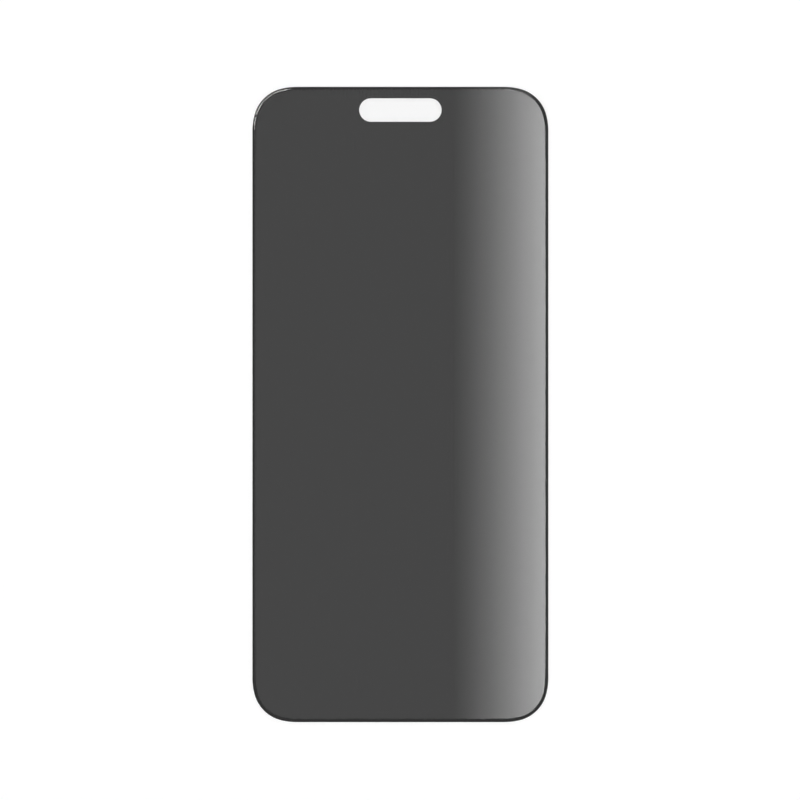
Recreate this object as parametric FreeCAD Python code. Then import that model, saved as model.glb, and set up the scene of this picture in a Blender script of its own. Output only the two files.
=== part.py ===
"""Phone privacy screen protector: a clear cover glass with a rounded rim, bonded over a dark louvre film.

It lies film down. The origin is the middle of the film's underside, +X points right, +Y points
to the sensor window's end and +Z points out of the glass. Lengths are in millimetres, angles in degrees.
"""
import FreeCAD, Part
import math
import os

# Outline of the glass: each corner is a tight arc between two wide ones, so that it eases into the sides.
sheet_width = 75.0
sheet_length = 161.0
corner_radius = 9.2
ease_radius = 15.7
ease_angle = 15.0

# Cover glass: a rounded rim runs out from the face, above a ground wall with an arris under it.
glass_thickness = 0.33
rim_width = 0.9
wall_height = 0.13
arris = 0.04

# Louvre film, with the glue above it and the silicone coat below it counted in its thickness.
film_thickness = 0.25
film_setback = 0.01

# Sensor window: a round-ended slot through the film alone, which the glass runs across.
window_width = 20.9
window_height = 6.0
window_margin = 2.85

UP = FreeCAD.Vector(0, 0, 1)
RIGHT_ANGLE = 90.0


def polar(radius, angle):
    """Return the flat vector of this length at this angle from +X."""
    turn = math.radians(angle)
    return FreeCAD.Vector(radius * math.cos(turn), radius * math.sin(turn), 0)


def corner_arcs():
    """List the outline's arcs anticlockwise from the right side, as centre, radius, first and last angle."""
    ease = math.radians(ease_angle)
    shift = ease_radius - corner_radius
    reach = ease_radius - shift * (math.cos(ease) - math.sin(ease))
    first = FreeCAD.Vector(reach - ease_radius, 0, 0)
    last = FreeCAD.Vector(0, reach - ease_radius, 0)
    one_corner = (
        (first, ease_radius, 0, ease_angle),
        (first + polar(shift, ease_angle), corner_radius, ease_angle, RIGHT_ANGLE - ease_angle),
        (last, ease_radius, RIGHT_ANGLE - ease_angle, RIGHT_ANGLE),
    )
    half_width = sheet_width / 2 - reach
    half_length = sheet_length / 2 - reach
    arcs = []
    for corner, (side, end) in enumerate(((1, 1), (-1, 1), (-1, -1), (1, -1))):
        turn = RIGHT_ANGLE * corner
        middle = FreeCAD.Vector(side * half_width, end * half_length, 0)
        for centre, radius, start, stop in one_corner:
            offset = FreeCAD.Rotation(UP, turn).multVec(centre)
            arcs.append((middle + offset, radius, start + turn, stop + turn))
    return arcs


def joined_arcs():
    """Pair each arc of the outline with the one that follows it."""
    arcs = corner_arcs()
    return zip(arcs, arcs[1:] + arcs[:1])


def is_gap(start, end):
    """Tell whether two points are apart, so that a straight side joins them."""
    return (end - start).Length > Part.Precision.confusion()


def outline(inset, height):
    """Return the closed outline, this far inside the glass's own, at this height."""
    lift = UP * height
    edges = []
    for (centre, radius, start, stop), (next_centre, next_radius, next_start, _) in joined_arcs():
        points = [centre + lift + polar(radius - inset, a) for a in (start, (start + stop) / 2, stop)]
        edges.append(Part.Arc(*points).toShape())
        side_end = next_centre + lift + polar(next_radius - inset, next_start)
        if is_gap(points[-1], side_end):
            edges.append(Part.LineSegment(points[-1], side_end).toShape())
    return Part.Wire(edges)


def rim_section(centre, radius, angle):
    """Return the glass's section from its back to its face, at one place on an arc of the outline."""
    drop = glass_thickness - wall_height
    rim_radius = (rim_width ** 2 + drop ** 2) / (2 * drop)
    half_sweep = math.asin(rim_width / rim_radius) / 2

    def at(inset, height):
        return centre + polar(radius - inset, angle) + UP * (film_thickness + height)

    back = at(arris, 0)
    foot = at(0, arris)
    shoulder = at(0, wall_height)
    crown = at(rim_width - rim_radius * math.sin(half_sweep),
               glass_thickness - rim_radius * (1 - math.cos(half_sweep)))
    face = at(rim_width, glass_thickness)
    return Part.Wire([
        Part.LineSegment(back, foot).toShape(),
        Part.LineSegment(foot, shoulder).toShape(),
        Part.Arc(shoulder, crown, face).toShape(),
    ])


def cover_glass():
    """Close the rim, turned round the corners and drawn along the sides, with the face and the back."""
    skin = []
    for (centre, radius, start, stop), (next_centre, next_radius, next_start, _) in joined_arcs():
        skin += rim_section(centre, radius, start).revolve(centre, UP, stop - start).Faces
        side_start = centre + polar(radius, stop)
        side_end = next_centre + polar(next_radius, next_start)
        if is_gap(side_start, side_end):
            skin += rim_section(centre, radius, stop).extrude(side_end - side_start).Faces
    skin.append(Part.Face(outline(rim_width, film_thickness + glass_thickness)))
    skin.append(Part.Face(outline(arris, film_thickness)))
    shell = Part.Shell(skin)
    shell.sewShape()
    return Part.Solid(shell)


def sensor_window():
    """Return the window's outline, a slot with round ends, centred across the sheet."""
    end_radius = window_height / 2
    half_straight = window_width / 2 - end_radius
    from_middle = sheet_length / 2 - window_margin - end_radius
    edges = []
    for side in (1, -1):
        centre = FreeCAD.Vector(side * half_straight, from_middle, 0)
        first, tip, last = (centre + polar(side * end_radius, a) for a in (-RIGHT_ANGLE, 0, RIGHT_ANGLE))
        edges.append(Part.Arc(first, tip, last).toShape())
        across = FreeCAD.Vector(-2 * side * half_straight, 0, 0)
        edges.append(Part.LineSegment(last, last + across).toShape())
    return Part.Wire(edges)


def privacy_film():
    """Return the film, cut a little smaller than the glass's flat back, with its window."""
    face = Part.makeFace([outline(arris + film_setback, 0), sensor_window()], "Part::FaceMakerBullseye")
    return face.extrude(UP * film_thickness)


os.makedirs("parts", exist_ok=True)
for name, shape in (("cover_glass", cover_glass()), ("privacy_film", privacy_film())):
    shape.exportStep(f"parts/{name}.step")
    print(name, "valid", shape.isValid(), "solids", len(shape.Solids), "volume", round(shape.Volume, 2))
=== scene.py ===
"""Phone privacy screen protector, dressed for a studio picture from straight above.

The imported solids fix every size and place. The cover glass is drawn again on the same outline with a
finer rim, so that light runs smoothly along it, and the film keeps its solid under a finish of its own.
Sizes are in millimetres, and become metres where a mesh, a lamp or the camera is made.
"""

from __future__ import annotations

import logging
import math
from dataclasses import dataclass
from enum import Enum
from typing import Any

import bmesh
import bpy
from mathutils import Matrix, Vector

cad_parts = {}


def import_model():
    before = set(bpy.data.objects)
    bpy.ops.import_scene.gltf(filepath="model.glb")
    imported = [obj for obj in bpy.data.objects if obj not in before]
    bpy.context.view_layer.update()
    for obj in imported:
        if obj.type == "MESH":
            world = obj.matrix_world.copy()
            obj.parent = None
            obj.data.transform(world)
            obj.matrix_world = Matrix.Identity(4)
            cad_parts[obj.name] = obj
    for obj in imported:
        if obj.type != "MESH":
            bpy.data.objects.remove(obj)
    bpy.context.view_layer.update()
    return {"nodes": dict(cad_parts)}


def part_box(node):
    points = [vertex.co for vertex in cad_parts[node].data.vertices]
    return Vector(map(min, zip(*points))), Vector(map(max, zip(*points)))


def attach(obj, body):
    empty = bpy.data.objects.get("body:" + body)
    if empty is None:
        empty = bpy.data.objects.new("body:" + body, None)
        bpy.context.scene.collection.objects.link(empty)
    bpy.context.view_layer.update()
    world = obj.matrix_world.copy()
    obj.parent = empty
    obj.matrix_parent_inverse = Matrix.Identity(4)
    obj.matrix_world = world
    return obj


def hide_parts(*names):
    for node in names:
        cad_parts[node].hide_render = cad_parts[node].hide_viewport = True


MM = 0.001
BODY = "root"
UP = Vector((0.0, 0.0, 1.0))

log = logging.getLogger("screen_protector")


class Piece(Enum):
    """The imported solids, by the names of their nodes."""

    COVER_GLASS = "cover_glass"
    PRIVACY_FILM = "privacy_film"


def linear(hex_colour: str) -> tuple[float, float, float, float]:
    """Turn an sRGB hex colour to linear light.

    Args:
        hex_colour: Six hex digits after a hash sign.

    Returns:
        Red, green, blue and a full alpha.
    """
    shares = [int(hex_colour[i : i + 2], 16) / 255 for i in (1, 3, 5)]
    red, green, blue = (s / 12.92 if s <= 0.04045 else ((s + 0.055) / 1.055) ** 2.4 for s in shares)
    return red, green, blue, 1.0


def add_node(
    tree: bpy.types.NodeTree, kind: str, inputs: dict[str | int, Any] | None = None, **settings: Any
) -> bpy.types.Node:
    """Add one node with its settings, values and links.

    Args:
        tree: The tree that gets the node.
        kind: The node's type name.
        inputs: Values for its sockets, or sockets of other nodes to link to them, several in a list.
        **settings: Options of the node itself.

    Returns:
        The new node.
    """
    node = tree.nodes.new(kind)
    for name, option in settings.items():
        setattr(node, name, option)
    for key, value in (inputs or {}).items():
        for item in value if isinstance(value, list) else [value]:
            if isinstance(item, bpy.types.NodeSocket):
                tree.links.new(item, node.inputs[key])
            else:
                node.inputs[key].default_value = item
    return node


def blank_material(name: str) -> tuple[bpy.types.Material, bpy.types.NodeTree]:
    """Make a material with an empty node tree.

    Args:
        name: What the real material is and how its surface was made.

    Returns:
        The material and its tree.
    """
    material = bpy.data.materials.new(name)
    material.use_nodes = True
    material.node_tree.nodes.clear()
    return material, material.node_tree


def looked_at(tree: bpy.types.NodeTree) -> bpy.types.NodeSocket:
    """Tell whether the camera, a mirror or glass looks at a backdrop.

    Args:
        tree: The backdrop's tree, which gets the nodes.

    Returns:
        One where it is looked at, and nought where it only sheds light.
    """
    ray = add_node(tree, "ShaderNodeLightPath").outputs
    direct = add_node(
        tree, "ShaderNodeMath", {0: ray["Is Camera Ray"], 1: ray["Is Glossy Ray"]}, operation="MAXIMUM"
    )
    either = add_node(
        tree, "ShaderNodeMath", {0: direct.outputs[0], 1: ray["Is Transmission Ray"]}, operation="MAXIMUM"
    )
    return either.outputs[0]


@dataclass(frozen=True)
class PolishedGlass:
    """Tempered sheet glass, lapped and polished: clear, almost without colour, with sharp reflections."""

    tint: str = "#F3F3F3"
    ior: float = 1.52
    smoothest: float = 0.0
    roughest: float = 0.015
    smear_mm: float = 18.0
    smear_detail: float = 2.0

    def material(self) -> bpy.types.Material:
        """Make the glass, with the faint uneven sheen that a wiped grease-proof coat leaves.

        Returns:
            The material.
        """
        material, tree = blank_material("tempered_glass_polished")
        place = add_node(tree, "ShaderNodeTexCoord")
        smear = add_node(
            tree,
            "ShaderNodeTexNoise",
            {
                "Vector": place.outputs["Object"],
                "Scale": 1 / (self.smear_mm * MM),
                "Detail": self.smear_detail,
            },
        )
        sheen = add_node(
            tree,
            "ShaderNodeMapRange",
            {"Value": smear.outputs["Fac"], "To Min": self.smoothest, "To Max": self.roughest},
        )
        shader = add_node(
            tree,
            "ShaderNodeBsdfPrincipled",
            {
                "Base Color": linear(self.tint),
                "Roughness": sheen.outputs["Result"],
                "IOR": self.ior,
                "Transmission Weight": 1.0,
            },
        )
        add_node(tree, "ShaderNodeOutputMaterial", {"Surface": shader.outputs["BSDF"]})
        return material


@dataclass(frozen=True)
class GroundGlass:
    """The same glass left as the grinding wheel cut it: a grey satin edge that scatters light."""

    tint: str = "#F0F0F0"
    ior: float = 1.52
    roughness: float = 0.45
    grit_mm: float = 0.06
    grit_detail: float = 1.0
    grit_depth_mm: float = 0.004

    def material(self) -> bpy.types.Material:
        """Make the ground edge, with the wheel's grit as bump.

        Returns:
            The material.
        """
        material, tree = blank_material("tempered_glass_ground_edge")
        place = add_node(tree, "ShaderNodeTexCoord")
        grit = add_node(
            tree,
            "ShaderNodeTexNoise",
            {
                "Vector": place.outputs["Object"],
                "Scale": 1 / (self.grit_mm * MM),
                "Detail": self.grit_detail,
            },
        )
        bump = add_node(
            tree,
            "ShaderNodeBump",
            {"Height": grit.outputs["Fac"], "Distance": self.grit_depth_mm * MM, "Strength": 1.0},
        )
        shader = add_node(
            tree,
            "ShaderNodeBsdfPrincipled",
            {
                "Base Color": linear(self.tint),
                "Roughness": self.roughness,
                "IOR": self.ior,
                "Transmission Weight": 1.0,
                "Normal": bump.outputs["Normal"],
            },
        )
        add_node(tree, "ShaderNodeOutputMaterial", {"Surface": shader.outputs["BSDF"]})
        return material


@dataclass(frozen=True)
class LouvreFilm:
    """Cast louvre film: upright black slats in a smoky carrier, which read as one even dark grey."""

    carrier: str = "#383838"
    slat: str = "#343434"
    # Real slats stand about 0.1 mm apart. They are drawn wider, so that a close view can show them.
    pitch_mm: float = 1.0
    roughness: float = 0.4

    def material(self) -> bpy.types.Material:
        """Make the film. Glue wets its face, so that it has no reflection of its own.

        Returns:
            The material.
        """
        material, tree = blank_material("louvre_film_cast")
        place = add_node(tree, "ShaderNodeTexCoord")
        # A wave's bands repeat every 2 pi / 20 units of its scaled axis.
        bands = add_node(
            tree,
            "ShaderNodeTexWave",
            {"Vector": place.outputs["Object"], "Scale": math.tau / 20 / (self.pitch_mm * MM)},
            bands_direction="X",
        )
        # A mix takes its two colours by inputs 6 and 7, and gives one by output 2.
        colour = add_node(
            tree,
            "ShaderNodeMix",
            {"Factor": bands.outputs["Fac"], 6: linear(self.carrier), 7: linear(self.slat)},
            data_type="RGBA",
        )
        shader = add_node(
            tree,
            "ShaderNodeBsdfPrincipled",
            {
                "Base Color": colour.outputs[2],
                "Roughness": self.roughness,
                "Specular IOR Level": 0.0,
            },
        )
        add_node(tree, "ShaderNodeOutputMaterial", {"Surface": shader.outputs["BSDF"]})
        return material


@dataclass(frozen=True)
class PaleFloor:
    """A matt white studio floor, lifted to white where the camera, a mirror or glass looks at it."""

    colour: str = "#DCDCDC"
    lift: float = 0.415
    far_lift: float = 0.75
    near_mm: float = 200.0
    far_mm: float = 2500.0

    def material(self) -> bpy.types.Material:
        """Make the floor, whose own light leaves the object's shadow on it.

        Returns:
            The material.
        """
        material, tree = blank_material("studio_floor_matt")
        # The lamps light the floor less, the farther away it is, so that it is lifted more there.
        place = add_node(tree, "ShaderNodeTexCoord")
        away = add_node(
            tree, "ShaderNodeVectorMath", {0: place.outputs["Object"]}, operation="LENGTH"
        )
        lift = add_node(
            tree,
            "ShaderNodeMapRange",
            {
                "Value": away.outputs["Value"],
                "From Min": self.near_mm * MM,
                "From Max": self.far_mm * MM,
                "To Min": self.lift,
                "To Max": self.far_lift,
            },
        )
        strength = add_node(
            tree, "ShaderNodeMath", {0: looked_at(tree), 1: lift.outputs["Result"]}, operation="MULTIPLY"
        )
        glow = add_node(tree, "ShaderNodeEmission", {"Strength": strength.outputs[0]})
        matt = add_node(tree, "ShaderNodeBsdfDiffuse", {"Color": linear(self.colour)})
        both = add_node(tree, "ShaderNodeAddShader", {0: matt.outputs["BSDF"], 1: glow.outputs["Emission"]})
        add_node(tree, "ShaderNodeOutputMaterial", {"Surface": both.outputs["Shader"]})
        return material


@dataclass(frozen=True)
class Outline:
    """The sheet's outline: each corner is a tight arc between two wide ones that ease it into the sides."""

    width_mm: float
    length_mm: float
    corner_radius_mm: float = 9.2
    ease_radius_mm: float = 15.7
    ease_angle_deg: float = 15.0
    step_deg: float = 1.5

    def corner(self) -> tuple[float, list[Vector]]:
        """Work out one corner, seen from the inner corner of the square that it fills.

        Returns:
            The square's side, and the corner's points from the right side to the top one.
        """
        ease = math.radians(self.ease_angle_deg)
        shift = self.ease_radius_mm - self.corner_radius_mm
        reach = self.ease_radius_mm - shift * (math.cos(ease) - math.sin(ease))
        first = Vector((reach - self.ease_radius_mm, 0.0, 0.0))
        middle = first + shift * Vector((math.cos(ease), math.sin(ease), 0.0))
        last = Vector((0.0, reach - self.ease_radius_mm, 0.0))
        quarter = math.pi / 2
        steps = round(math.degrees(quarter) / self.step_deg)
        points = []
        for i in range(steps + 1):
            turn = quarter * i / steps
            if turn < ease:
                centre, radius = first, self.ease_radius_mm
            elif turn <= quarter - ease:
                centre, radius = middle, self.corner_radius_mm
            else:
                centre, radius = last, self.ease_radius_mm
            points.append(centre + radius * Vector((math.cos(turn), math.sin(turn), 0.0)))
        return reach, points

    def points(self) -> list[Vector]:
        """Turn one corner into all four.

        Returns:
            The outline's points, anticlockwise, in millimetres.
        """
        reach, corner = self.corner()
        half_width = self.width_mm / 2 - reach
        half_length = self.length_mm / 2 - reach
        found = []
        for turns, (side, end) in enumerate(((1, 1), (-1, 1), (-1, -1), (1, -1))):
            middle = Vector((side * half_width, end * half_length, 0.0))
            for point in corner:
                turned = point.copy()
                for _ in range(turns):
                    turned = Vector((-turned.y, turned.x, 0.0))
                found.append(middle + turned)
        return found


@dataclass
class CoverGlass:
    """The clear glass: a flat face with a rounded polished rim, a ground wall and an arris."""

    low: Vector
    high: Vector
    rim_width_mm: float = 0.9
    wall_height_mm: float = 0.13
    arris_mm: float = 0.04
    rim_steps: int = 16
    # The glue leaves no air, so the film's face lies this far inside the glass.
    wetted_mm: float = 0.01
    merge_mm: float = 0.001
    # The ground faces' normals point up or down by less than this, and the rim's by more.
    rim_upward: float = 0.8
    crisp_deg: float = 25.0
    polished: PolishedGlass = PolishedGlass()
    ground: GroundGlass = GroundGlass()

    def tree(self) -> tuple[bpy.types.NodeTree, dict[str, str]]:
        """Build the tree that runs the rim's section round an outline and closes it front and back.

        Returns:
            The tree, and the identifier of each named input.
        """
        tree = bpy.data.node_groups.new("rimmed_glass", "GeometryNodeTree")
        kinds = {
            "Outline": "NodeSocketGeometry",
            "Back Height": "NodeSocketFloat",
            "Thickness": "NodeSocketFloat",
            "Rim Width": "NodeSocketFloat",
            "Wall Height": "NodeSocketFloat",
            "Arris": "NodeSocketFloat",
            "Rim Steps": "NodeSocketInt",
            "Polished": "NodeSocketMaterial",
            "Ground": "NodeSocketMaterial",
        }
        names = {
            name: tree.interface.new_socket(name, in_out="INPUT", socket_type=kind).identifier
            for name, kind in kinds.items()
        }
        tree.interface.new_socket("Glass", in_out="OUTPUT", socket_type="NodeSocketGeometry")
        size = add_node(tree, "NodeGroupInput").outputs

        path = add_node(
            tree,
            "GeometryNodeSetCurveNormal",
            {"Curve": add_node(tree, "GeometryNodeMeshToCurve", {"Mesh": size["Outline"]}).outputs["Curve"]},
            mode="Z_UP",
        )
        sweep = add_node(
            tree,
            "GeometryNodeCurveToMesh",
            {"Curve": path.outputs["Curve"], "Profile Curve": self.section(tree, size)},
        )
        face = self.cap(tree, path.outputs["Curve"], size["Rim Width"], size["Thickness"])
        back = self.cap(tree, path.outputs["Curve"], size["Arris"], 0.0)
        joined = add_node(
            tree, "GeometryNodeJoinGeometry", {"Geometry": [sweep.outputs["Mesh"], face, back]}
        )
        closed = add_node(
            tree,
            "GeometryNodeMergeByDistance",
            {"Geometry": joined.outputs["Geometry"], "Distance": self.merge_mm * MM},
        )
        lift = add_node(tree, "ShaderNodeCombineXYZ", {"Z": size["Back Height"]})
        placed = add_node(
            tree,
            "GeometryNodeTransform",
            {"Geometry": closed.outputs["Geometry"], "Translation": lift.outputs["Vector"]},
        )
        real = add_node(tree, "GeometryNodeRealizeInstances", {"Geometry": placed.outputs["Geometry"]})
        polished = add_node(
            tree,
            "GeometryNodeSetMaterial",
            {"Geometry": real.outputs["Geometry"], "Material": size["Polished"]},
        )
        ground = add_node(
            tree,
            "GeometryNodeSetMaterial",
            {
                "Geometry": polished.outputs["Geometry"],
                "Selection": self.is_wall(tree),
                "Material": size["Ground"],
            },
        )
        add_node(tree, "NodeGroupOutput", {"Glass": ground.outputs["Geometry"]})
        return tree, names

    def section(self, tree: bpy.types.NodeTree, size: bpy.types.NodeOutputs) -> bpy.types.NodeSocket:
        """Draw the rim's section from the back to the face, as one curve of inset and height.

        Args:
            tree: The tree that gets the nodes.
            size: The tree's named inputs.

        Returns:
            The section, turned half round, because a sweep points a section's axes out and down.
        """
        drop = add_node(
            tree, "ShaderNodeMath", {0: size["Thickness"], 1: size["Wall Height"]}, operation="SUBTRACT"
        )
        # The rim's two tangents meet on the face's plane, (w2 - d2) / 2w inside the edge.
        flatter = add_node(
            tree, "ShaderNodeMath", {0: drop.outputs[0], 1: size["Rim Width"]}, operation="DIVIDE"
        )
        drop_share = add_node(
            tree, "ShaderNodeMath", {0: flatter.outputs[0], 1: drop.outputs[0]}, operation="MULTIPLY"
        )
        twice_bend = add_node(
            tree, "ShaderNodeMath", {0: size["Rim Width"], 1: drop_share.outputs[0]}, operation="SUBTRACT"
        )
        bend_inset = add_node(
            tree, "ShaderNodeMath", {0: twice_bend.outputs[0], 1: 0.5}, operation="MULTIPLY"
        )
        corners = {
            "back": {"X": size["Arris"]},
            "foot": {"Y": size["Arris"]},
            "shoulder": {"Y": size["Wall Height"]},
            "bend": {"X": bend_inset.outputs[0], "Y": size["Thickness"]},
            "face": {"X": size["Rim Width"], "Y": size["Thickness"]},
        }
        at = {
            name: add_node(tree, "ShaderNodeCombineXYZ", place).outputs["Vector"]
            for name, place in corners.items()
        }
        rim = add_node(
            tree,
            "GeometryNodeCurveQuadraticBezier",
            {
                "Resolution": size["Rim Steps"],
                "Start": at["shoulder"],
                "Middle": at["bend"],
                "End": at["face"],
            },
        )
        lines = [
            add_node(tree, "GeometryNodeCurvePrimitiveLine", {"Start": at[start], "End": at[end]})
            for start, end in (("back", "foot"), ("foot", "shoulder"))
        ]
        parts = add_node(
            tree, "GeometryNodeJoinGeometry", {"Geometry": [n.outputs["Curve"] for n in (*lines, rim)]}
        )
        edges = add_node(tree, "GeometryNodeCurveToMesh", {"Curve": parts.outputs["Geometry"]})
        chain = add_node(
            tree,
            "GeometryNodeMergeByDistance",
            {"Geometry": edges.outputs["Mesh"], "Distance": self.merge_mm * MM},
        )
        whole = add_node(tree, "GeometryNodeMeshToCurve", {"Mesh": chain.outputs["Geometry"]})
        turned = add_node(
            tree,
            "GeometryNodeTransform",
            {"Geometry": whole.outputs["Curve"], "Rotation": (0.0, 0.0, math.pi)},
        )
        return turned.outputs["Geometry"]

    @staticmethod
    def cap(
        tree: bpy.types.NodeTree,
        path: bpy.types.NodeSocket,
        inset: bpy.types.NodeSocket,
        height: bpy.types.NodeSocket | float,
    ) -> bpy.types.NodeSocket:
        """Fill the outline, this far inside itself, with one flat face at this height.

        Args:
            tree: The tree that gets the nodes.
            path: The outline's curve, with level normals that point outwards.
            inset: How far inside the outline the face ends.
            height: How high the face lies.

        Returns:
            The face, shaded flat so that it mirrors as a plane does.
        """
        normal = add_node(tree, "GeometryNodeInputNormal")
        inwards = add_node(tree, "ShaderNodeMath", {0: inset, 1: -1.0}, operation="MULTIPLY")
        offset = add_node(
            tree,
            "ShaderNodeVectorMath",
            {0: normal.outputs["Normal"], "Scale": inwards.outputs[0]},
            operation="SCALE",
        )
        edge = add_node(
            tree, "GeometryNodeSetPosition", {"Geometry": path, "Offset": offset.outputs["Vector"]}
        )
        filled = add_node(
            tree, "GeometryNodeFillCurve", {"Curve": edge.outputs["Geometry"]}, mode="NGONS"
        )
        lift = add_node(tree, "ShaderNodeCombineXYZ", {"Z": height})
        raised = add_node(
            tree,
            "GeometryNodeTransform",
            {"Geometry": filled.outputs["Mesh"], "Translation": lift.outputs["Vector"]},
        )
        flat = add_node(
            tree,
            "GeometryNodeSetShadeSmooth",
            {"Geometry": raised.outputs["Geometry"], "Shade Smooth": False},
        )
        return flat.outputs["Geometry"]

    def is_wall(self, tree: bpy.types.NodeTree) -> bpy.types.NodeSocket:
        """Pick the faces that the wheel ground, which stand steeper than any of the rim's.

        Args:
            tree: The tree that gets the nodes.

        Returns:
            Whether a face is one of them.
        """
        normal = add_node(tree, "GeometryNodeInputNormal")
        part = add_node(tree, "ShaderNodeSeparateXYZ", {"Vector": normal.outputs["Normal"]})
        level = add_node(tree, "ShaderNodeMath", {0: part.outputs["Z"]}, operation="ABSOLUTE")
        steep = add_node(
            tree,
            "FunctionNodeCompare",
            {"A": level.outputs[0], "B": self.rim_upward},
            operation="LESS_THAN",
        )
        return steep.outputs["Result"]

    def build(self) -> bpy.types.Object:
        """Make the glass from its tree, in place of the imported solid.

        Returns:
            The finished piece, at the origin, with its place in its mesh.
        """
        extent = (self.high - self.low) / MM
        points = Outline(extent.x, extent.y).points()
        ring = bpy.data.meshes.new("glass_outline")
        edges = [(i, (i + 1) % len(points)) for i in range(len(points))]
        ring.from_pydata([p * MM for p in points], edges, [])
        glass = bpy.data.objects.new("rimmed_cover_glass", ring)
        bpy.context.scene.collection.objects.link(glass)
        tree, names = self.tree()
        modifier = glass.modifiers.new("rim", "NODES")
        modifier.node_group = tree
        back = self.low.z - self.wetted_mm * MM
        values = {
            "Back Height": back,
            "Thickness": self.high.z - back,
            "Rim Width": self.rim_width_mm * MM,
            "Wall Height": (self.wall_height_mm + self.wetted_mm) * MM,
            "Arris": self.arris_mm * MM,
            "Rim Steps": self.rim_steps,
            "Polished": self.polished.material(),
            "Ground": self.ground.material(),
        }
        for name, value in values.items():
            modifier[names[name]] = value
        graph = bpy.context.evaluated_depsgraph_get()
        mesh = bpy.data.meshes.new_from_object(glass.evaluated_get(graph), depsgraph=graph)
        glass.modifiers.clear()
        glass.data = mesh
        bpy.data.meshes.remove(ring)
        self.turn_outwards(mesh)
        return glass

    def turn_outwards(self, mesh: bpy.types.Mesh) -> None:
        """Point every face out of the closed glass and keep its ground corners crisp.

        Args:
            mesh: The glass's mesh.
        """
        work = bmesh.new()
        work.from_mesh(mesh)
        bmesh.ops.recalc_face_normals(work, faces=work.faces)
        for edge in work.edges:
            if edge.is_manifold and edge.calc_face_angle() > math.radians(self.crisp_deg):
                edge.smooth = False
        open_edges = sum(not edge.is_manifold for edge in work.edges)
        log.info("glass: %d faces, %d open edges", len(work.faces), open_edges)
        work.to_mesh(mesh)
        work.free()

    def dress(self, glass: bpy.types.Object) -> None:
        """Let lamps reach the film through the glass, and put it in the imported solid's place.

        Args:
            glass: The finished piece.
        """
        glass.visible_shadow = False
        glass.visible_diffuse = False
        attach(glass, BODY)
        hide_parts(Piece.COVER_GLASS.value)


@dataclass
class PrivacyFilm:
    """The dark film under the glass, with its sensor window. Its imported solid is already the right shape."""

    solid: bpy.types.Object
    finish: LouvreFilm = LouvreFilm()

    def dress(self) -> None:
        """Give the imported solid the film's finish."""
        self.solid.material_slots[0].material = self.finish.material()


@dataclass(frozen=True)
class PhotoView:
    """The camera, straight above the sheet, framed by where the sheet lies in the photograph."""

    sheet_width_mm: float
    top_mm: float
    frame_px: float = 800.0
    left_px: float = 252.37
    right_px: float = 548.42
    upper_px: float = 87.12
    lower_px: float = 721.90
    lens_mm: float = 100.0
    sensor_mm: float = 36.0

    @property
    def mm_per_px(self) -> float:
        """How much of the sheet one pixel spans."""
        return self.sheet_width_mm / (self.right_px - self.left_px)

    @property
    def distance_mm(self) -> float:
        """How far the camera stands above the sheet's face."""
        return self.frame_px * self.mm_per_px * self.lens_mm / self.sensor_mm

    @property
    def aim(self) -> Vector:
        """Find what the frame's middle shows.

        Returns:
            That point of the sheet, in millimetres.
        """
        across = self.frame_px / 2 - (self.left_px + self.right_px) / 2
        down = self.frame_px / 2 - (self.upper_px + self.lower_px) / 2
        return Vector((across, -down, 0.0)) * self.mm_per_px

    def across_mm(self, pixel: float) -> float:
        """Tell where a column of the frame crosses the sheet, to the right of its middle."""
        return (pixel - self.frame_px / 2) * self.mm_per_px + self.aim.x

    def mirrored(self, place: Vector, height_mm: float) -> Vector:
        """Find what the flat face mirrors to the camera.

        Args:
            place: A point of the face, in millimetres.
            height_mm: How far above the face the mirrored thing hangs.

        Returns:
            The point at that height which the camera sees in the face there.
        """
        spread = height_mm / self.distance_mm
        return place * (1 + spread) - self.aim * spread

    def build(self) -> None:
        """Make the camera and look through it."""
        lens = bpy.data.cameras.new("photo_view")
        lens.lens = self.lens_mm
        lens.sensor_width = self.sensor_mm
        camera = bpy.data.objects.new("photo_view", lens)
        camera.location = (self.aim + UP * (self.top_mm + self.distance_mm)) * MM
        bpy.context.scene.collection.objects.link(camera)
        bpy.context.scene.camera = camera


class Run(Enum):
    """Which way a softbox is graded, by the axis of its front."""

    ACROSS = "X"
    ALONG = "Y"


class Lights(Enum):
    """Which surfaces a softbox lights."""

    ALL = "all"
    MATT = "matt"
    MIRRORS = "mirrors"


@dataclass(frozen=True)
class Fade:
    """Where a softbox's light begins and where it is full, as shares of its front.

    A lean moves both of them by that share of the front, from one end of its other axis to the other.
    """

    run: Run
    dark: float
    full: float
    lean: float = 0.0


@dataclass(frozen=True)
class Ramp:
    """How a softbox brightens across its front, by an even rise and one that steepens."""

    start: float
    end: float
    even_rise: float
    steepening_rise: float


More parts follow.
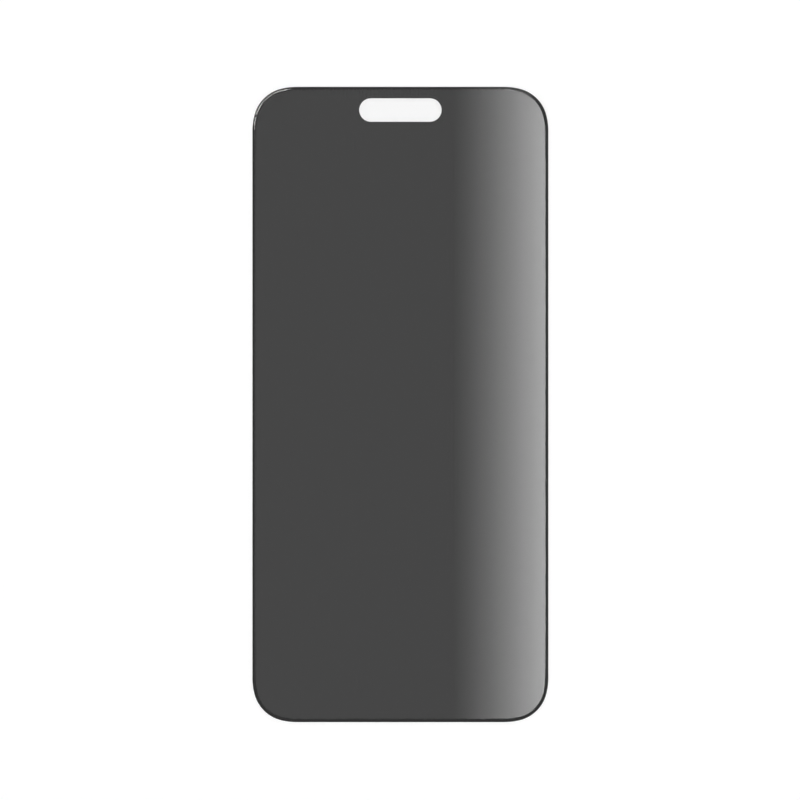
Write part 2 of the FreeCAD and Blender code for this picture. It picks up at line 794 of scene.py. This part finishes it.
@dataclass(frozen=True)
class Softbox:
    """A rectangular studio lamp with an even or graded front."""

    name: str
    centre_mm: Vector
    width_mm: float
    depth_mm: float
    radiance: float
    ramp: Ramp | None = None
    fades: tuple[Fade, ...] = ()
    facing: Vector | None = None
    lights: Lights = Lights.ALL

    def build(self) -> None:
        """Hang the lamp, facing straight down unless it faces elsewhere."""
        lamp = bpy.data.lights.new(self.name, "AREA")
        lamp.shape = "RECTANGLE"
        lamp.size = self.width_mm * MM
        lamp.size_y = self.depth_mm * MM
        # A flat lamp's radiance is its watts over pi times its area.
        lamp.energy = math.pi * lamp.size * lamp.size_y
        self.grade(lamp)
        place = bpy.data.objects.new(self.name, lamp)
        place.location = self.centre_mm * MM
        if self.facing is not None:
            place.rotation_euler = self.facing.to_track_quat("-Z", "Y").to_euler()
        place.visible_camera = False
        place.visible_diffuse = self.lights is not Lights.MIRRORS
        place.visible_glossy = self.lights is not Lights.MATT
        bpy.context.scene.collection.objects.link(place)

    def grade(self, lamp: bpy.types.Light) -> None:
        """Set the lamp's radiance over its front.

        Args:
            lamp: The lamp, with energy for a radiance of 1.
        """
        lamp.use_nodes = True
        tree = lamp.node_tree
        tree.nodes.clear()
        spot = add_node(tree, "ShaderNodeNewGeometry")
        shares = add_node(tree, "ShaderNodeSeparateXYZ", {"Vector": spot.outputs["Parametric"]})
        strength: bpy.types.NodeSocket | float = self.radiance
        if self.ramp is not None:
            along = add_node(
                tree,
                "ShaderNodeMapRange",
                {
                    "Value": shares.outputs[Run.ACROSS.value],
                    "From Min": self.ramp.start,
                    "From Max": self.ramp.end,
                },
            )
            slope = add_node(
                tree,
                "ShaderNodeMath",
                {0: along.outputs["Result"], 1: self.ramp.steepening_rise, 2: self.ramp.even_rise},
                operation="MULTIPLY_ADD",
            )
            strength = add_node(
                tree,
                "ShaderNodeMath",
                {0: slope.outputs[0], 1: along.outputs["Result"], 2: strength},
                operation="MULTIPLY_ADD",
            ).outputs[0]
        for fade in self.fades:
            other = Run.ALONG if fade.run is Run.ACROSS else Run.ACROSS
            leaning = add_node(
                tree,
                "ShaderNodeMath",
                {0: shares.outputs[other.value], 1: -fade.lean, 2: shares.outputs[fade.run.value]},
                operation="MULTIPLY_ADD",
            )
            share = add_node(
                tree,
                "ShaderNodeMapRange",
                {"Value": leaning.outputs[0], "From Min": fade.dark, "From Max": fade.full},
                interpolation_type="SMOOTHSTEP",
            )
            strength = add_node(
                tree, "ShaderNodeMath", {0: strength, 1: share.outputs["Result"]}, operation="MULTIPLY"
            ).outputs[0]
        glow = add_node(tree, "ShaderNodeEmission", {"Strength": strength})
        add_node(tree, "ShaderNodeOutputLight", {"Surface": glow.outputs["Emission"]})


@dataclass(frozen=True)
class Panel:
    """A level rectangle of light, with how far its light takes to rise from each edge."""

    left: float
    right: float
    bottom: float
    top: float
    soft_left: float
    soft_right: float
    soft_bottom: float
    soft_top: float
    right_lean: float = 0.0

    def fades(self) -> tuple[Fade, ...]:
        """Give its soft edges as shares of its front.

        Returns:
            One fade for each edge.
        """
        width = self.right - self.left
        depth = self.top - self.bottom
        lean = self.right_lean / width
        return (
            Fade(Run.ACROSS, 0.0, self.soft_left / width),
            Fade(Run.ACROSS, 1.0 - lean, 1.0 - lean - self.soft_right / width, lean),
            Fade(Run.ALONG, 0.0, self.soft_bottom / depth),
            Fade(Run.ALONG, 1.0, 1.0 - self.soft_top / depth),
        )


@dataclass(frozen=True)
class OverheadBank:
    """The level softboxes above the sheet: one that its face mirrors, and wings that fade out in its rim.

    The box is full over what the face mirrors and an overlap round it, and then blends into the wings. Their
    free edges are soft. The glare starts at one column of the frame and rises to the sheet's right side.
    """

    view: PhotoView
    sheet_length_mm: float
    height_mm: float = 1500.0
    # The wings hang this much higher, so that both lamps count where one blends into the other.
    wing_step_mm: float = 1.0
    overlap_mm: float = 15.0
    blend_mm: float = 60.0
    soft_mm: float = 120.0
    radiance: float = 0.69
    glare_start_px: float = 454.0
    glare_even_rise: float = 3.0
    glare_steepening_rise: float = 5.1
    corner_mm: float = 11.1
    left_wing_mm: float = 600.0
    right_wing_mm: float = 330.0
    top_wing_mm: float = 650.0
    corner_wing_mm: float = 1200.0
    corner_radiance: float = 0.9
    corner_edge_deg: float = 56.0

    def mirror(self, x_mm: float, y_mm: float) -> Vector:
        """Find what the face mirrors at this point of the sheet, at the bank's height."""
        return self.view.mirrored(Vector((x_mm, y_mm, 0.0)), self.height_mm)

    def glare(self, panel: Panel) -> Ramp:
        """Work out how the glare rises over a panel, towards the sheet's right side.

        Args:
            panel: The panel that is graded.

        Returns:
            The rise, between shares of that panel's front.
        """
        half_width = self.view.sheet_width_mm / 2
        start, end = (
            (self.mirror(x, 0.0).x - panel.left) / (panel.right - panel.left)
            for x in (self.view.across_mm(self.glare_start_px), half_width)
        )
        return Ramp(start, end, self.glare_even_rise, self.glare_steepening_rise)

    def softbox(self, name: str, panel: Panel, radiance: float, step_mm: float, **options: Any) -> Softbox:
        """Fill a level panel with a softbox.

        Args:
            name: The lamp's name.
            panel: Where it hangs and how its edges fade.
            radiance: How bright it is, before any grading.
            step_mm: How far it hangs above the bank's own height.
            **options: Its ramp, or which surfaces it lights.

        Returns:
            The softbox.
        """
        middle = Vector((panel.left + panel.right, panel.bottom + panel.top, 0.0)) / 2
        height = self.view.top_mm + self.height_mm + step_mm
        return Softbox(
            name,
            middle + UP * height,
            panel.right - panel.left,
            panel.top - panel.bottom,
            radiance,
            fades=panel.fades(),
            **options,
        )

    def panels(self) -> tuple[Panel, ...]:
        """Lay out the box that fills the face's mirror, and the wings that reach into the rim's.

        Returns:
            The face's panel, and the left, right, top and corner wings, which rise where its edges fade.
        """
        half_width = self.view.sheet_width_mm / 2
        half_length = self.sheet_length_mm / 2
        side = half_length - self.corner_mm
        end = half_width - self.corner_mm
        blend = self.blend_mm
        soft = self.soft_mm
        overlap = Vector((self.overlap_mm, self.overlap_mm, 0.0))
        low = self.mirror(-half_width, -half_length) - overlap
        high = self.mirror(half_width, half_length) + overlap
        side_low = self.mirror(0.0, -side).y - soft / 2
        side_high = self.mirror(0.0, side).y + soft / 2
        end_low = self.mirror(-end, 0.0).x - soft / 2

        face = Panel(
            left=low.x - blend,
            right=high.x + blend,
            bottom=low.y - blend,
            top=high.y + blend,
            soft_left=blend,
            soft_right=blend,
            soft_bottom=blend,
            soft_top=blend,
        )
        left = Panel(
            left=low.x - self.left_wing_mm,
            right=low.x,
            bottom=side_low,
            top=side_high,
            soft_left=self.left_wing_mm - blend,
            soft_right=blend,
            soft_bottom=soft,
            soft_top=soft,
        )
        right = Panel(
            left=high.x,
            right=high.x + self.right_wing_mm,
            bottom=side_low,
            top=side_high,
            soft_left=blend,
            soft_right=self.right_wing_mm - blend,
            soft_bottom=soft,
            soft_top=soft,
        )
        top = Panel(
            left=end_low,
            right=high.x + blend / 2,
            bottom=high.y,
            top=high.y + self.top_wing_mm,
            soft_left=soft,
            soft_right=blend,
            soft_bottom=blend,
            soft_top=self.top_wing_mm,
        )
        lean = self.corner_wing_mm / math.tan(math.radians(self.corner_edge_deg))
        corner = Panel(
            left=high.x - soft,
            right=high.x + soft / 2 + lean,
            bottom=high.y,
            top=high.y + self.corner_wing_mm,
            soft_left=soft,
            soft_right=soft,
            soft_bottom=soft,
            soft_top=soft,
            right_lean=lean,
        )
        return face, left, right, top, corner

    def softboxes(self) -> list[Softbox]:
        """Fill the panels with softboxes, graded where the glare rises.

        Returns:
            The softboxes.
        """
        face, left, right, top, corner = self.panels()
        step = self.wing_step_mm
        full_glare = self.radiance + self.glare_even_rise + self.glare_steepening_rise
        # The corner wing crosses the top wing too, so it hangs another step higher.
        return [
            self.softbox("overhead_box", face, self.radiance, 0.0, ramp=self.glare(face)),
            self.softbox("left_wing", left, self.radiance, step),
            self.softbox("right_wing", right, full_glare, step),
            self.softbox("top_wing", top, self.radiance, step, ramp=self.glare(top)),
            self.softbox("corner_wing", corner, self.corner_radiance, 2 * step, lights=Lights.MIRRORS),
        ]


@dataclass(frozen=True)
class KeyScreen:
    """A folding screen of softboxes at the top left, which that corner's rim mirrors as a light line."""

    panels: int = 3
    distance_mm: float = 2500.0
    first_azimuth_deg: float = 98.0
    last_azimuth_deg: float = 164.0
    top_polar_deg: float = 23.5
    foot_polar_deg: float = 38.5
    radiance: float = 12.0
    soft_edge: float = 0.35
    soft_end: float = 0.25

    def softboxes(self) -> list[Softbox]:
        """Stand the panels side by side, facing the sheet.

        Returns:
            The panels, with soft edges all round the screen.
        """
        turn = (self.last_azimuth_deg - self.first_azimuth_deg) / self.panels
        width = 2 * self.distance_mm * math.tan(math.radians(turn / 2))
        top, foot = (
            self.distance_mm / math.tan(math.radians(polar))
            for polar in (self.top_polar_deg, self.foot_polar_deg)
        )
        found = []
        for number in range(self.panels):
            azimuth = math.radians(self.first_azimuth_deg + turn * (number + 0.5))
            away = Vector((math.cos(azimuth), math.sin(azimuth), 0.0))
            fades = [Fade(Run.ALONG, 0.0, self.soft_edge), Fade(Run.ALONG, 1.0, 1.0 - self.soft_edge)]
            if number == 0:
                fades.append(Fade(Run.ACROSS, 0.0, self.soft_end))
            if number == self.panels - 1:
                fades.append(Fade(Run.ACROSS, 1.0, 1.0 - self.soft_end))
            found.append(
                Softbox(
                    f"key_panel_{number}",
                    away * self.distance_mm + UP * (top + foot) / 2,
                    width,
                    top - foot,
                    self.radiance,
                    fades=tuple(fades),
                    facing=-away,
                    lights=Lights.MIRRORS,
                )
            )
        return found


@dataclass(frozen=True)
class FillBox:
    """A wide softbox high above, which lights the floor and the film evenly and shows in no mirror."""

    height_mm: float = 3000.0
    width_mm: float = 4000.0
    radiance: float = 1.0

    def softbox(self) -> Softbox:
        """Return the box, level and centred over the sheet."""
        place = UP * self.height_mm
        return Softbox("fill_box", place, self.width_mm, self.width_mm, self.radiance, lights=Lights.MATT)


@dataclass(frozen=True)
class Surround:
    """The studio's walls and ceiling: pale near the floor and white where looked at, dim overhead."""

    colour: str = "#FFFFFF"
    wall: float = 0.8
    white: float = 1.0
    ceiling: float = 0.096
    white_below_deg: float = 12.0
    dim_above_deg: float = 50.0

    def build(self) -> None:
        """Make the world, which fades from wall to ceiling by height alone."""
        world = bpy.data.worlds.new("studio_surround")
        bpy.context.scene.world = world
        world.use_nodes = True
        tree = world.node_tree
        tree.nodes.clear()
        way = add_node(tree, "ShaderNodeTexCoord")
        part = add_node(tree, "ShaderNodeSeparateXYZ", {"Vector": way.outputs["Generated"]})
        wall = add_node(
            tree,
            "ShaderNodeMath",
            {0: looked_at(tree), 1: self.white - self.wall, 2: self.wall},
            operation="MULTIPLY_ADD",
        )
        fade = add_node(
            tree,
            "ShaderNodeMapRange",
            {
                "Value": part.outputs["Z"],
                "From Min": math.sin(math.radians(self.white_below_deg)),
                "From Max": math.sin(math.radians(self.dim_above_deg)),
                "To Min": wall.outputs[0],
                "To Max": self.ceiling,
            },
            interpolation_type="SMOOTHSTEP",
        )
        glow = add_node(
            tree,
            "ShaderNodeBackground",
            {"Color": linear(self.colour), "Strength": fade.outputs["Result"]},
        )
        add_node(tree, "ShaderNodeOutputWorld", {"Surface": glow.outputs["Background"]})


@dataclass(frozen=True)
class Studio:
    """The floor, the surround and the lamps."""

    bank: OverheadBank
    key: KeyScreen = KeyScreen()
    fill: FillBox = FillBox()
    surround: Surround = Surround()
    floor_mm: float = 6000.0
    floor_gap_mm: float = 0.02
    finish: PaleFloor = PaleFloor()

    def build(self) -> None:
        """Lay the floor and hang the lamps."""
        self.lay_floor()
        self.surround.build()
        for softbox in (*self.bank.softboxes(), *self.key.softboxes(), self.fill.softbox()):
            softbox.build()

    def lay_floor(self) -> None:
        """Lay a wide plane just under the film."""
        half = self.floor_mm / 2 * MM
        level = -self.floor_gap_mm * MM
        corners = [(x, y, level) for x, y in ((-half, -half), (half, -half), (half, half), (-half, half))]
        mesh = bpy.data.meshes.new("studio_floor")
        mesh.from_pydata(corners, [], [(0, 1, 2, 3)])
        mesh.materials.append(self.finish.material())
        floor = bpy.data.objects.new("studio_floor", mesh)
        bpy.context.scene.collection.objects.link(floor)


def main() -> None:
    """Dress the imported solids, light them and look at them as the photograph does."""
    logging.basicConfig(level=logging.INFO, format="%(name)s: %(message)s")
    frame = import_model()
    bpy.context.scene.view_settings.view_transform = "Standard"

    cover = CoverGlass(*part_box(Piece.COVER_GLASS.value))
    glass = cover.build()
    cover.dress(glass)
    log.info("built %s", glass.name)

    film = PrivacyFilm(frame["nodes"][Piece.PRIVACY_FILM.value])
    film.dress()
    log.info("dressed %s", film.solid.name)

    extent = (cover.high - cover.low) / MM
    view = PhotoView(extent.x, cover.high.z / MM)
    view.build()
    Studio(OverheadBank(view, extent.y)).build()
    log.info("camera %.0f mm above the sheet", view.distance_mm)


if __name__ == "__main__":
    main()
